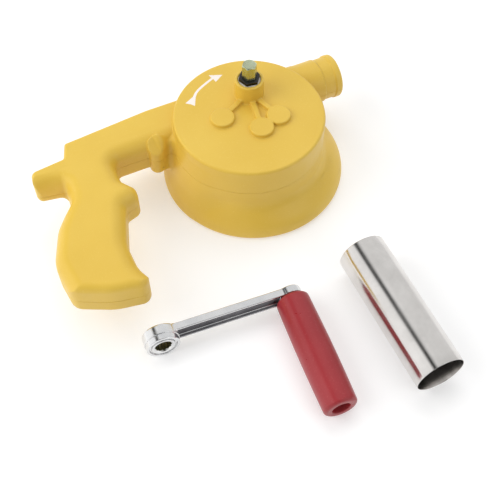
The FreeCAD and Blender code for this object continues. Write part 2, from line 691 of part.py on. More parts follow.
def housing_screws():
    head_low = HEAD_POCKET_Z - SCREW_HEAD_HEIGHT
    return Part.makeCompound([pan_screw(centre, head_low, tip)
                              for centre, tip in housing_screw_places()])


def plate_screws():
    head_low = PLATE_Z[0] - SCREW_HEAD_HEIGHT
    return Part.makeCompound([pan_screw(c, head_low, PLATE_SCREW_TIP_Z) for c in PLATE_POSTS])


def cover_screws():
    """Countersunk screws, just below flush with the underside of the inlet cover."""
    screws = []
    sunk = 0.1
    for post in COVER_POSTS:
        head = Part.makeCone(SCREW_HEAD_R, SCREW_R, COUNTERSINK_DEPTH - sunk,
                             post + Vector(0, 0, sunk), Z_AXIS)
        screw = head.fuse(cylinder(SCREW_R, COUNTERSINK_DEPTH, COVER_SCREW_TIP_Z, post))
        screws.append(screw.cut(cross_recess(post, sunk, 3.0, 0.7, 0.9)))
    return Part.makeCompound(screws)


# ---- Crank handle ---------------------------------------------------------------------------
def lay_on_ground(shape):
    """Move a piece from the crank handle's own frame to where the handle lies on the ground."""
    shape.rotate(ORIGIN, X_AXIS, 90)
    shape.rotate(ORIGIN, Z_AXIS, GRIP_TURN)
    shape.translate(SOCKET_ON_GROUND)
    return shape


def crank_arm():
    """Channel-section arm between the deep hexagon socket and the spindle's eye."""
    socket = round_level(cylinder(SOCKET_R, 0, SOCKET_DEPTH), SOCKET_EDGE_R, 0, SOCKET_DEPTH)
    eye = round_level(cylinder(ARM_END_R, 0, ARM_THICKNESS, SPINDLE_AXIS), ARM_EDGE_R, 0)
    bar = Part.makeBox(ARM_LENGTH, ARM_WIDTH, ARM_THICKNESS, Vector(0, -ARM_WIDTH / 2, 0))
    bar = bar.makeFillet(ARM_EDGE_R, [e for e in bar.Edges if e.BoundBox.XLength > ARM_LENGTH - 1])
    channel = Part.makeBox(ARM_LENGTH, ARM_WIDTH - 2 * ARM_FLANGE, ARM_CHANNEL_DEPTH + 1,
                           Vector(0, ARM_FLANGE - ARM_WIDTH / 2, ARM_THICKNESS - ARM_CHANNEL_DEPTH))
    arm = bar.cut(channel).fuse([socket, eye])
    mouth = Part.makeCone(*SOCKET_MOUTH_R, SOCKET_MOUTH_DEPTH,
                          Vector(0, 0, SOCKET_DEPTH - SOCKET_MOUTH_DEPTH), Z_AXIS)
    arm = arm.cut([polygon_prism(6, SOCKET_FLATS, -1, SOCKET_DEPTH + 1), mouth,
                   cylinder(SPINDLE_R, -1, ARM_THICKNESS + 1, SPINDLE_AXIS)])
    return lay_on_ground(arm.removeSplitter())


def grip_spindle():
    """Pin riveted through the arm's eye, with a domed head behind it."""
    ball = Part.makeSphere(RIVET_DOME_R, SPINDLE_AXIS + Vector(0, 0, RIVET_DOME_CENTRE))
    dome = ball.common(cylinder(RIVET_EDGE_R, -RIVET_DOME_R, 0.0, SPINDLE_AXIS))
    pin = cylinder(SPINDLE_R, -SPINDLE_ROOT, SPINDLE_TIP, SPINDLE_AXIS)
    return lay_on_ground(pin.fuse(dome).removeSplitter())


def spindle_washer():
    return lay_on_ground(ring(SPINDLE_WASHER_R, SPINDLE_R, ARM_THICKNESS,
                              ARM_THICKNESS + SPINDLE_WASHER_THICKNESS, SPINDLE_AXIS))


def spindle_cap():
    """Push-on cap in the grip's end pocket that keeps the grip on its spindle."""
    low, high = CAP_LEVEL
    return lay_on_ground(ring(CAP_R, SPINDLE_R, GRIP_POCKET_FLOOR + low,
                              GRIP_POCKET_FLOOR + high, SPINDLE_AXIS))


def grip():
    """Turned handle with a slight belly, rounded ends and a pocket in its free end."""
    low, high = GRIP_START, GRIP_START + GRIP_LENGTH
    floor = GRIP_POCKET_FLOOR
    bore_r = SPINDLE_R + RUNNING_GAP
    corner = GRIP_END_ROUND
    inset = GRIP_END_R - corner
    slack = corner * (1 - math.sqrt(0.5))

    def line(r_a, z_a, r_b, z_b):
        return Part.LineSegment(Vector(r_a, 0, z_a), Vector(r_b, 0, z_b)).toShape()

    def arc(r_a, z_a, r_b, z_b, r_c, z_c):
        return Part.Arc(Vector(r_a, 0, z_a), Vector(r_b, 0, z_b), Vector(r_c, 0, z_c)).toShape()

    edges = [
        line(bore_r, low, inset, low),
        arc(inset, low, GRIP_END_R - slack, low + slack, GRIP_END_R, low + corner),
        arc(GRIP_END_R, low + corner, GRIP_R, (low + high) / 2, GRIP_END_R, high - corner),
        arc(GRIP_END_R, high - corner, GRIP_END_R - slack, high - slack, inset, high),
        line(inset, high, GRIP_POCKET_R, high),
        line(GRIP_POCKET_R, high, GRIP_POCKET_R, floor),
        line(GRIP_POCKET_R, floor, bore_r, floor),
        line(bore_r, floor, bore_r, low),
    ]
    turned = Part.Face(Part.Wire(edges)).revolve(ORIGIN, Z_AXIS, 360)
    turned.translate(SPINDLE_AXIS)
    return lay_on_ground(turned)


# ---- Outlet tube -----------------------------------------------------------------------------
def outlet_tube():
    tube = ring(TUBE_OUTER_R, TUBE_INNER_R, 0, TUBE_LENGTH)
    tube.rotate(ORIGIN, X_AXIS, 90)
    tube.translate(TUBE_ON_GROUND)
    return tube


def main():
    os.makedirs("parts", exist_ok=True)
    shell = housing_shell()
    nodes = {
        "upper_housing": upper_housing(shell),
        "lower_housing": lower_housing(shell),
        "gear_plate": gear_plate(),
        "inlet_cover": inlet_cover(),
        "boss_bush": boss_bush(),
        "plate_bush": plate_bush(),
        "impeller_upper_bush": impeller_upper_bush(),
        "impeller_lower_bush": impeller_lower_bush(),
        "first_idler_axle": idler_axle(FIRST_IDLER_AXIS),
        "second_idler_axle": idler_axle(SECOND_IDLER_AXIS),
        "housing_screws": housing_screws(),
        "plate_screws": plate_screws(),
        "cover_screws": cover_screws(),
        "crank_shaft": crank_shaft(),
        "crank_gear": crank_gear(),
        "lock_nut": lock_nut(),
        "thrust_washer": thrust_washer(),
        "first_idler_gear": first_idler_gear(),
        "second_idler_gear": second_idler_gear(),
        "impeller_shaft": impeller_shaft(),
        "impeller_pinion": impeller_pinion(),
        "impeller": impeller(),
        "impeller_clip": impeller_clip(),
        "crank_arm": crank_arm(),
        "grip_spindle": grip_spindle(),
        "spindle_washer": spindle_washer(),
        "spindle_cap": spindle_cap(),
        "grip": grip(),
        "outlet_tube": outlet_tube(),
    }
    for name, shape in nodes.items():
        shape.exportStep(f"parts/{name}.step")


main()
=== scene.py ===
"""Looks of the hand-cranked air blower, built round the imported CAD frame.

The housing halves, the crank arm, the crank shaft and its collar are meshed from rounded solids
that distance functions describe, in millimetres: the housing in the CAD frame, the others in
frames of their own. The washer, the red grip and the tube are turned profiles, and the arrow on
the drum is a thin flat piece.
"""
import json
import math
import bpy
import numpy as np
from mathutils import Matrix, Vector


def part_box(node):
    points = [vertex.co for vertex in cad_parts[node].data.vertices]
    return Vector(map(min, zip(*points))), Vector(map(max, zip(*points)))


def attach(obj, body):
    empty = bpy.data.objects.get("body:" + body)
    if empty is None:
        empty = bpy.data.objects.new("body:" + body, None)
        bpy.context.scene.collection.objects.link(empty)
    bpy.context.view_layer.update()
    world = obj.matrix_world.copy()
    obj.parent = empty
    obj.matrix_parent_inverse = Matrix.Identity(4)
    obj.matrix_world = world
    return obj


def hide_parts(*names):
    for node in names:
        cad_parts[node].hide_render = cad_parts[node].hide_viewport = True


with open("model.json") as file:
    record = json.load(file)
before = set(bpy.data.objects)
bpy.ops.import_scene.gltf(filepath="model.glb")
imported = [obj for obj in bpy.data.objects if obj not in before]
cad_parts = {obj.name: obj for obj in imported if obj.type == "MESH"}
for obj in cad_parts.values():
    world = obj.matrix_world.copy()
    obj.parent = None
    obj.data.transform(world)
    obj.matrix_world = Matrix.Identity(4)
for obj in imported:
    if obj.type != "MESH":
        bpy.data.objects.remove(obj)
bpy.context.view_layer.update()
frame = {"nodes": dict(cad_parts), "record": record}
record = frame["record"]
MM = 0.001
HEX_CORNER = 0.35


# ---------------------------------------------------------------- distance functions (mm)
def round_and(a, b, r):
    """Intersection of two solids with its edge rounded to radius r."""
    return np.minimum(np.maximum(a, b), -r) + np.hypot(np.maximum(a + r, 0), np.maximum(b + r, 0))


def round_or(a, b, r):
    """Union of two solids with a fillet of radius r between them."""
    return np.maximum(np.minimum(a, b), r) - np.hypot(np.maximum(r - a, 0), np.maximum(r - b, 0))


def fade(value, none, full):
    """Smooth change from 0 where the value is none to 1 where it is full."""
    t = np.clip((value - none) / (full - none), 0, 1)
    return t * t * t * (t * (t * 6 - 15) + 10)


def mix(a, b, part):
    return a * (1 - part) + b * part


def slab(z, low, high):
    return np.abs(z - (low + high) / 2) - (high - low) / 2


def hexagon(x, y, flats, turn):
    """Hexagon of a width across flats, turned by degrees, with slightly rounded corners."""
    out = None
    for i in range(3):
        a = math.radians(turn + 30 + 60 * i)
        d = np.abs(x * math.cos(a) + y * math.sin(a)) - flats / 2
        out = d if out is None else round_and(out, d, HEX_CORNER)
    return out


def rib(x, y, start, end, width):
    """Straight bar from start to end."""
    ax, ay = start
    dx, dy = end[0] - ax, end[1] - ay
    length = math.hypot(dx, dy)
    dx, dy = dx / length, dy / length
    along = (x - ax) * dx + (y - ay) * dy
    across = (y - ay) * dx - (x - ax) * dy
    return np.maximum(np.abs(across) - width / 2, np.abs(along - length / 2) - length / 2)


class Outline:
    """Closed outline of straight runs and tangent arcs; corners are (x, y, radius)."""

    def __init__(self, corners):
        n = len(corners)
        points = [np.array(c[:2], float) for c in corners]
        self.arcs, self.runs, ends = [], [], []
        for i, here in enumerate(points):
            radius = corners[i][2]
            to_a = points[i - 1] - here
            to_b = points[(i + 1) % n] - here
            to_a /= np.linalg.norm(to_a)
            to_b /= np.linalg.norm(to_b)
            half = math.acos(np.clip(to_a @ to_b, -1, 1)) / 2
            reach = radius / math.tan(half)
            middle = (to_a + to_b) / np.linalg.norm(to_a + to_b)
            centre = here + middle * radius / math.sin(half)
            turn = to_b[1] * to_a[0] - to_b[0] * to_a[1]
            ends.append((here + to_a * reach, here + to_b * reach))
            self.arcs.append((centre, radius, -middle, math.cos(math.pi / 2 - half) - 1e-6, turn))
        area = sum(a[0] * b[1] - b[0] * a[1] for a, b in zip(points, points[1:] + points[:1]))
        self.way = 1.0 if area > 0 else -1.0
        for i in range(n):
            a, b = ends[i][1], ends[(i + 1) % n][0]
            if np.linalg.norm(b - a) > 1e-4:
                self.runs.append((a, b))

    def distance(self, x, y):
        best = np.full(np.broadcast(x, y).shape, 1e6)
        for a, b in self.runs:
            d = b - a
            length = np.linalg.norm(d)
            d = d / length
            t = (x - a[0]) * d[0] + (y - a[1]) * d[1]
            side = ((x - a[0]) * d[1] - (y - a[1]) * d[0]) * self.way
            here = (t >= -1e-6) & (t <= length + 1e-6) & (np.abs(side) < np.abs(best))
            best = np.where(here, side, best)
        for centre, radius, facing, limit, turn in self.arcs:
            dx, dy = x - centre[0], y - centre[1]
            r = np.hypot(dx, dy)
            convex = turn * self.way < 0
            side = (r - radius) if convex else (radius - r)
            here = (dx * facing[0] + dy * facing[1] >= r * limit) & (np.abs(side) < np.abs(best))
            best = np.where(here, side, best)
        return best


# ---------------------------------------------------------------- sizes of the housing
MOUNTS = {m["name"]: np.array(m["pos_m"]) / MM for m in record["mounts"]}
JOINTS = {j["name"]: j for j in record["behaviour"]["joints"]}


def joint_xy(name):
    return tuple(np.array(JOINTS[name]["pos_m"][:2]) / MM)


WALL = 2.4
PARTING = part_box("upper_housing")[0].z / MM
SEAM_GAP, SEAM_EDGE = 0.04, 0.3             # each half stays this far from the parting plane

DISC = 57.3                                 # height of the drum's face
DRUM_R, RIM_R = 51.2, 65.4
RIM_CENTRE = (2.4, -1.2)                    # the rim stands slightly off the drum's axis
DISC_EDGE, BASE_EDGE = 2.2, 2.4
SKIRT_Z = (27.0, 18.0, 14.5, 3.4)           # heights of the skirt's curve, from drum to rim
RIM_KNEE = 1.4                              # how much the curve is pulled in above the rim
LEAN, LEAN_TOP, LEAN_RUN = 0.255, 49.0, 37  # the wall's slope in front of the handle, its extent

SHAFT = joint_xy("drive_spin")
PAD_A = (-18.7, 3.2)
PAD_B = joint_xy("second_idler_spin")
PAD_C = joint_xy("first_idler_spin")
PAD_R, PAD_RISE = 8.4, 2.9
RIB_WIDTH, RIB_RISE = 3.6, 2.5
BOSS_R, BOSS_TOP = 10.2, 72.0
RECESS_R, RECESS_FLOOR = 7.9, 70.8
ROOTS = 3.0                                 # how deep boss, pads and ribs stand in the disc
BUSH_SEAT_R, BUSH_SEAT_LOW = 6.05, 52.0

NOZZLE_Y, NOZZLE_Z = MOUNTS["nozzle_spigot"][1], MOUNTS["nozzle_spigot"][2]
NOZZLE_START, NOZZLE_END = 20.0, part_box("upper_housing")[1].x / MM
NOZZLE_R, NOZZLE_STEP = 16.3, 0.4
NOZZLE_EDGE = 1.9
GROOVE, GROOVE_DEEP, GROOVE_SIDE = (67.2, 75.9), 0.8, 0.9
PASSAGE_R, PASSAGE_START, PASSAGE_TOP = 13.2, 22.0, 37.4

LUG = (-65.6, 8.4)                          # axis of the screw in the near lug
LUG_LOOK = (-66.9, 9.3)                     # centre of the lug, nearer the barrel
LUG_R = 5.3
FACET_Y, FACET_Z = 11.0, 48.9               # a point of the lug's sloping top, and its slope
FACET_UP, FACET_OUT = 0.75, 0.66
FAR_LUG = (-12.0, 53.0)
FAR_LUG_R, FAR_LUG_TOP = 4.8, 43.0
HANDLE_POSTS = ((-112.0, 22.0), (-128.0, -20.0), (-134.0, -72.0))
POST_R = 4.2
PLATE_POST = (POST_R, 40.0, 58.0)           # radius, bottom and top
COVER_POST = (3.8, 2.4, 22.0)
SCREW_HEAD_R = 3.2
POCKET = (21.5, 27.5)

HANDLE_LOW, HANDLE_TOP = 22.8, 51.2
TANG_FOOT = (-134.0, 5.0)
TANG_SLOPE, TANG_LIFT = 0.184, 6.0
THUMB_CENTRE, THUMB_R = (-146.0, -4.0), 18.2
THUMB_REACH, THUMB_CURVE = 11.0, 0.05
PALM_EDGE, BACK_EDGE, HEEL_EDGE, LOW_EDGE = 10.2, 2.8, 5.4, 5.2
BARREL = [(-20, 39.9, 6.5), (-62, 39.9, 80), (-123.4, 34.8, 1.8), (-128.0, 22.4, 1.6),
          (-151.4, 20.0, 4.6), (-153.6, 8.6, 4.4), (*TANG_FOOT, 5), (-135, -10, 10),
          (-149.8, -29, 30), (-159.8, -53, 30)]
HEEL = [(-157.4, -77.4, 9), (-134, -88.9, 40), (-104.9, -94.4, 6.5)]
HEEL_BEYOND = [(-152.5, -127.6, 9), (-90.7, -127.4, 9)]
FINGERS = [(-112.4, -77, 25), (-112.6, -57, 34), (-103, -28.6, 5), (-92.4, -25.6, 5.5),
           (-91.6, -17.4, 5.5), (-98.2, -8.4, 6), (-98.2, 10, 6), (-20, 10, 6.5)]
handle_whole = Outline(BARREL + HEEL + FINGERS)
handle_long = Outline(BARREL + HEEL_BEYOND + FINGERS)

# boxes round what stands on the drum: lowest and highest corner
HANDLE_BOX = ((-162, -95, 22), (-20, 41, 52))
NOZZLE_BOX = ((20, 9, 19), (82, 44, 53))
LUGS_BOX = ((-73, 2, 22), (-7, 58, 51))
DETAIL_BOX = ((-28, -25, 54), (27, 28, 72))


# ---------------------------------------------------------------- the housing
def near(solid, x, y, z, box, margin=9.0):
    """Value of a solid; far outside its box, for a list of points, just the distance to the box."""
    if np.ndim(x) != 1:
        return solid(x, y, z)
    low, high = box
    gap = np.maximum(np.maximum(np.maximum(low[0] - x, x - high[0]),
                                np.maximum(low[1] - y, y - high[1])),
                     np.maximum(low[2] - z, z - high[2]))
    close = gap < margin
    value = gap.copy()
    value[close] = solid(x[close], y[close], z[close])
    return value


def bezier(t, p):
    """Cubic curve from p[0] to p[3], pulled towards p[1] and p[2]."""
    u = 1 - t
    return u ** 3 * p[0] + 3 * u * u * t * p[1] + 3 * u * t * t * p[2] + t ** 3 * p[3]


def bezier_slope(t, p):
    u = 1 - t
    return 3 * (u * u * (p[1] - p[0]) + 2 * u * t * (p[2] - p[1]) + t * t * (p[3] - p[2]))


def skirt(z, inset):
    """Radius of the drum and skirt at height z, and how far the centre has shifted there."""
    top, rim = DRUM_R - inset, RIM_R - inset
    t = np.clip((SKIRT_Z[0] - z) / (SKIRT_Z[0] - SKIRT_Z[3]), 0, 1)
    for _ in range(5):
        error = bezier(t, SKIRT_Z) - z
        t = np.clip(t - error / np.minimum(bezier_slope(t, SKIRT_Z), -1.0), 0, 1)
    return bezier(t, (top, top, rim - RIM_KNEE, rim)), t * t * (3 - 2 * t)


def drum_side(x, y, z, inset=0.0):
    """Distance to the drum and skirt, corrected for the slope of the skirt."""
    rise = 0.5
    radius, shift = skirt(z, inset)
    radius_above, _ = skirt(z + rise, inset)
    steep = np.hypot(1.0, (radius - radius_above) / rise)
    return (np.hypot(x - RIM_CENTRE[0] * shift, y - RIM_CENTRE[1] * shift) - radius) / steep


def lean(x, y, z):
    """The drum's wall leans out to the skirt in front of the handle; 1.06 allows for its slope."""
    bearing = np.degrees(np.arctan2(-y, -x))
    slope = LEAN * fade(bearing, -30.0, -18.0) * fade(bearing, 52.0, 18.0)
    down = np.clip(LEAN_TOP - z, 0, LEAN_RUN)
    return (np.hypot(x, y) - DRUM_R - slope * down) / 1.06


def thumb_scoop(x, y, z):
    """Above the handle's top, which falls away in a round scoop at the tang."""
    into = np.clip(THUMB_R - np.hypot(x - THUMB_CENTRE[0], y - THUMB_CENTRE[1]), 0, THUMB_REACH)
    return (z - HANDLE_TOP + THUMB_CURVE * into ** 2) / np.hypot(1.0, 2 * THUMB_CURVE * into)


def handle(x, y, z):
    """Pistol handle and barrel; the top edge is softer round the grip than behind the barrel."""
    whole = handle_whole.distance(x, y)
    sides = handle_long.distance(x, y)
    tang = fade(x, -131.0, -136.0) * fade(y, -1.0, 4.0)
    tang_side = TANG_FOOT[1] - TANG_SLOPE * (x - TANG_FOOT[0]) - y
    sides = mix(sides, tang_side, tang)
    back = np.maximum(fade(y, 20.0, 28.0), fade(y, 13.0, 19.0) * fade(x, -118.0, -124.0))
    over = thumb_scoop(x, y, z)
    under = HANDLE_LOW + TANG_LIFT * tang * fade(x, -130.0, -139.0) - z
    body = np.maximum(round_and(whole, over, mix(BACK_EDGE, HEEL_EDGE, fade(y, -60.0, -75.0))),
                      round_and(sides, over, mix(PALM_EDGE, BACK_EDGE, back)))
    return round_and(body, under, LOW_EDGE)


def nozzle(x, y, z):
    """Side nozzle with a small step and a wide shallow groove near its end."""
    start, end = GROOVE
    groove = fade(x, start, start + GROOVE_SIDE) - fade(x, end, end + GROOVE_SIDE)
    radius = NOZZLE_R - NOZZLE_STEP * fade(x, 49.0, 54.0) - GROOVE_DEEP * groove
    away = np.hypot(y - NOZZLE_Y, z - NOZZLE_Z)
    return np.maximum(round_and(away - radius, x - NOZZLE_END, NOZZLE_EDGE), NOZZLE_START - x)


def disc_details(x, y, z):
    """Three round pads, the ribs from them to the boss, and the boss with its recess."""
    pads = None
    for cx, cy in (PAD_A, PAD_B, PAD_C):
        pad = round_and(np.hypot(x - cx, y - cy) - PAD_R, z - (DISC + PAD_RISE), 0.9)
        pads = pad if pads is None else round_or(pads, pad, 0.4)
    for centre in (PAD_A, PAD_B, PAD_C):
        arm = round_and(rib(x, y, centre, SHAFT, RIB_WIDTH), z - (DISC + RIB_RISE), 0.7)
        pads = round_or(pads, arm, 0.5)
    away = np.hypot(x - SHAFT[0], y - SHAFT[1])
    recess = round_and(away - RECESS_R, RECESS_FLOOR - z, 0.2)
    boss = round_and(round_and(away - BOSS_R, z - BOSS_TOP, 0.8), -recess, 0.5)
    return np.maximum(round_or(pads, boss, 0.9), DISC - ROOTS - z)


def lugs(x, y, z):
    """Screw lug at the near side of the barrel, with a sloping top, and one at the far side."""
    front = np.hypot(x - LUG_LOOK[0], y - LUG_LOOK[1]) - LUG_R
    facet = (z - FACET_Z) * FACET_UP + (FACET_Y - y) * FACET_OUT
    front = round_and(round_and(front, facet, 0.7), HANDLE_LOW - z, 2.0)
    back = np.hypot(x - FAR_LUG[0], y - FAR_LUG[1]) - FAR_LUG_R
    back = round_and(round_and(back, z - FAR_LUG_TOP, 1.0), HANDLE_LOW - z, 1.0)
    return np.minimum(front, back)


def outer(x, y, z):
    """The whole outside of the housing; handle and near lug melt widely into the drum's front."""
    side = round_or(drum_side(x, y, z), lean(x, y, z), 5.0)
    body = round_and(round_and(side, z - DISC, DISC_EDGE), -z, BASE_EDGE)
    fillet = 2.0 + 7.0 * fade(y, 16.0, 8.0) * fade(z, 51.0, 46.0)
    body = round_or(body, near(handle, x, y, z, HANDLE_BOX), fillet)
    body = round_or(body, near(nozzle, x, y, z, NOZZLE_BOX), 5.0)
    spread = 1.1 + 6.0 * fade(x, -68.0, -63.0) * fade(y, 20.0, 12.0)
    body = round_or(body, near(lugs, x, y, z, LUGS_BOX), spread)
    return round_or(body, near(disc_details, x, y, z, DETAIL_BOX), 0.7)


def posts_round(centre, radius, bearings, post):
    """Posts (x, y, radius, bottom, top) on a circle, at bearings in degrees."""
    turns = [math.radians(bearing) for bearing in bearings]
    return [(centre[0] + radius * math.cos(turn), centre[1] + radius * math.sin(turn), *post)
            for turn in turns]


ROOM_POSTS = ([(*PAD_A, *PLATE_POST)] + posts_round((0, 0), 41.6, (-118, -30, 22), PLATE_POST)
              + posts_round(RIM_CENTRE, 55.5, (10, 100, 190, 280), COVER_POST))


def rooms(x, y, z):
    """The hollow inside: drum room open at the base, handle room, air passage, shaft bore."""
    foot = WALL - np.sqrt(np.clip(WALL ** 2 - (WALL - np.clip(z, 0, WALL)) ** 2, 0, None))
    drum = round_and(drum_side(x, y, z, WALL) + foot, z - (DISC - WALL), 1.0)
    for cx, cy, r, low, high in ROOM_POSTS:
        drum = np.maximum(drum, -np.maximum(np.hypot(x - cx, y - cy) - r, slab(z, low, high)))
    inner = near(handle, x, y, z, HANDLE_BOX) + WALL
    inner = np.maximum(inner, -drum_side(x, y, z))
    for cx, cy in HANDLE_POSTS + (LUG,):
        inner = np.maximum(inner, POST_R - np.hypot(x - cx, y - cy))
    passage = np.hypot(y - NOZZLE_Y, z - NOZZLE_Z) - PASSAGE_R
    passage = np.maximum(passage, PASSAGE_START - x)
    passage = np.maximum(passage, np.minimum(z - PASSAGE_TOP, DRUM_R - np.hypot(x, y)))
    seat = np.hypot(x - SHAFT[0], y - SHAFT[1]) - BUSH_SEAT_R
    seat = np.maximum(seat, BUSH_SEAT_LOW - z)
    return np.minimum(np.minimum(np.minimum(drum, inner), passage), seat)


def shell(x, y, z):
    solid = round_and(outer(x, y, z), -rooms(x, y, z), 0.4)
    for cx, cy in HANDLE_POSTS + (LUG, FAR_LUG):
        pocket = np.maximum(np.hypot(x - cx, y - cy) - SCREW_HEAD_R, slab(z, *POCKET))
        solid = round_and(solid, -pocket, 0.3)
    return solid


def upper_half(x, y, z):
    return round_and(shell(x, y, z), PARTING + SEAM_GAP - z, SEAM_EDGE)


def lower_half(x, y, z):
    return round_and(shell(x, y, z), z - PARTING + SEAM_GAP, SEAM_EDGE)


# ---------------------------------------------------------------- crank arm, shaft and collar
ARM = 89.0                                  # from the socket's axis to the eye's
SOCKET_R, SOCKET_DEEP = 11.8, 11.0
SHOULDER_R, SHOULDER_Z = 11.2, 7.2          # the socket is narrower beyond its shoulder
RING_R, RING_HALF, RING_FLOOR = 8.55, 0.75, 9.7
SOCKET_FLATS = 9.5
MOUTH_R, MOUTH_Z, MOUTH_LOW, MOUTH_FLARE = 5.0, 10.0, 9.6, 1.4
EYE_R, SPINDLE_R = 8.2, 3.0
BAR_HALF, BAR_DEEP = 6.75, 5.4
TROUGH_HALF, TROUGH_FLOOR, TROUGH_EDGE = 5.25, 2.8, 0.45
TROUGH_START, TROUGH_END = 11.0, ARM - 7.6

HEX_TURN = -9.0                             # the shaft's hexagon at rest, in degrees
SHAFT_FLATS, SHAFT_TIP, TIP_R = 9.2, 85.6, 4.2
HEX_LOW = 71.6
JOURNAL_R, JOURNAL_LOW, JOURNAL_TOP = 4.5, 36.2, 72.0
COLLAR_FLATS, COLLAR_LOW, COLLAR_TOP, COLLAR_BEVEL_R = 13.4, 71.65, 74.5, 7.0
DIAGONAL = 0.7071


def crank_arm(x, y, z):
    """x along the arm from the socket, y across it, z towards the grip."""
    r = np.hypot(x, y)
    socket = round_and(round_and(r - SOCKET_R, z - SOCKET_DEEP, 1.1), -z, 1.2)
    ring = np.maximum(np.abs(r - RING_R) - RING_HALF, RING_FLOOR - z)
    socket = round_and(socket, -ring, 0.35)
    socket = round_and(socket, -np.maximum(SHOULDER_R - r, SHOULDER_Z - z), 0.4)
    from_eye = np.hypot(x - ARM, y)
    eye = round_and(round_and(from_eye - EYE_R, z - BAR_DEEP, 0.7), -z, 0.8)
    bar = round_and(round_and(np.abs(y) - BAR_HALF, z - BAR_DEEP, 0.7), -z, 0.9)
    bar = np.maximum(bar, slab(x, 0.0, ARM))
    trough = round_and(np.abs(y) - TROUGH_HALF, TROUGH_FLOOR - z, 0.7)
    trough = np.maximum(trough, np.maximum(TROUGH_START - x, x - TROUGH_END))
    bar = round_and(bar, -trough, TROUGH_EDGE)
    solid = round_or(round_or(bar, eye, 0.6), socket, 1.2)
    hole = np.minimum(hexagon(x, y, SOCKET_FLATS, 0), hexagon(x, y, SOCKET_FLATS, 30))
    mouth = r - MOUTH_R - np.maximum(z - MOUTH_Z, 0) * MOUTH_FLARE
    hole = np.minimum(hole, np.maximum(mouth, MOUTH_LOW - z))
    return np.maximum(round_and(solid, -hole, 0.25), SPINDLE_R - from_eye)


def shaft_solid(x, y, z):
    """Round journal with the hexagonal shank on top, about the shaft's own axis."""
    r = np.hypot(x, y)
    journal = np.maximum(r - JOURNAL_R, slab(z, JOURNAL_LOW, JOURNAL_TOP))
    bevel = (r - TIP_R + (z - SHAFT_TIP)) * DIAGONAL
    shank = round_and(hexagon(x, y, SHAFT_FLATS, HEX_TURN), z - SHAFT_TIP, 0.2)
    shank = round_and(shank, bevel, 0.25)
    return np.minimum(journal, np.maximum(shank, HEX_LOW - z))


def collar_solid(x, y, z):
    """Hexagonal collar, its upper corners bevelled, round the shaft's own axis."""
    bevel = (np.hypot(x, y) - COLLAR_BEVEL_R + (z - COLLAR_TOP)) * DIAGONAL
    body = hexagon(x, y, COLLAR_FLATS, HEX_TURN)
    body = round_and(round_and(body, slab(z, COLLAR_LOW, COLLAR_TOP), 0.35), bevel, 0.3)
    return np.maximum(body, -hexagon(x, y, SHAFT_FLATS + 0.05, HEX_TURN))


# ---------------------------------------------------------------- meshing
def steps(*spans):
    """Grid lines: each span is (start, end, spacing), one after another."""
    lines = []
    for start, end, spacing in spans:
        count = max(1, int(round((end - start) / spacing)))
        lines.append(np.linspace(start, end, count + 1)[:-1])
    lines.append([spans[-1][1]])
    return np.concatenate(lines)


def gradient(solid, p, h):
    """Gradient of a solid's value at points p, from four samples h away."""
    x, y, z = p.T
    total = np.zeros_like(p)
    for sx, sy, sz in ((1, -1, -1), (-1, -1, 1), (-1, 1, -1), (1, 1, 1)):
        v = solid(x + sx * h, y + sy * h, z + sz * h)
        total += v[:, None] * np.array((sx, sy, sz), float)
    return total / (4 * h)


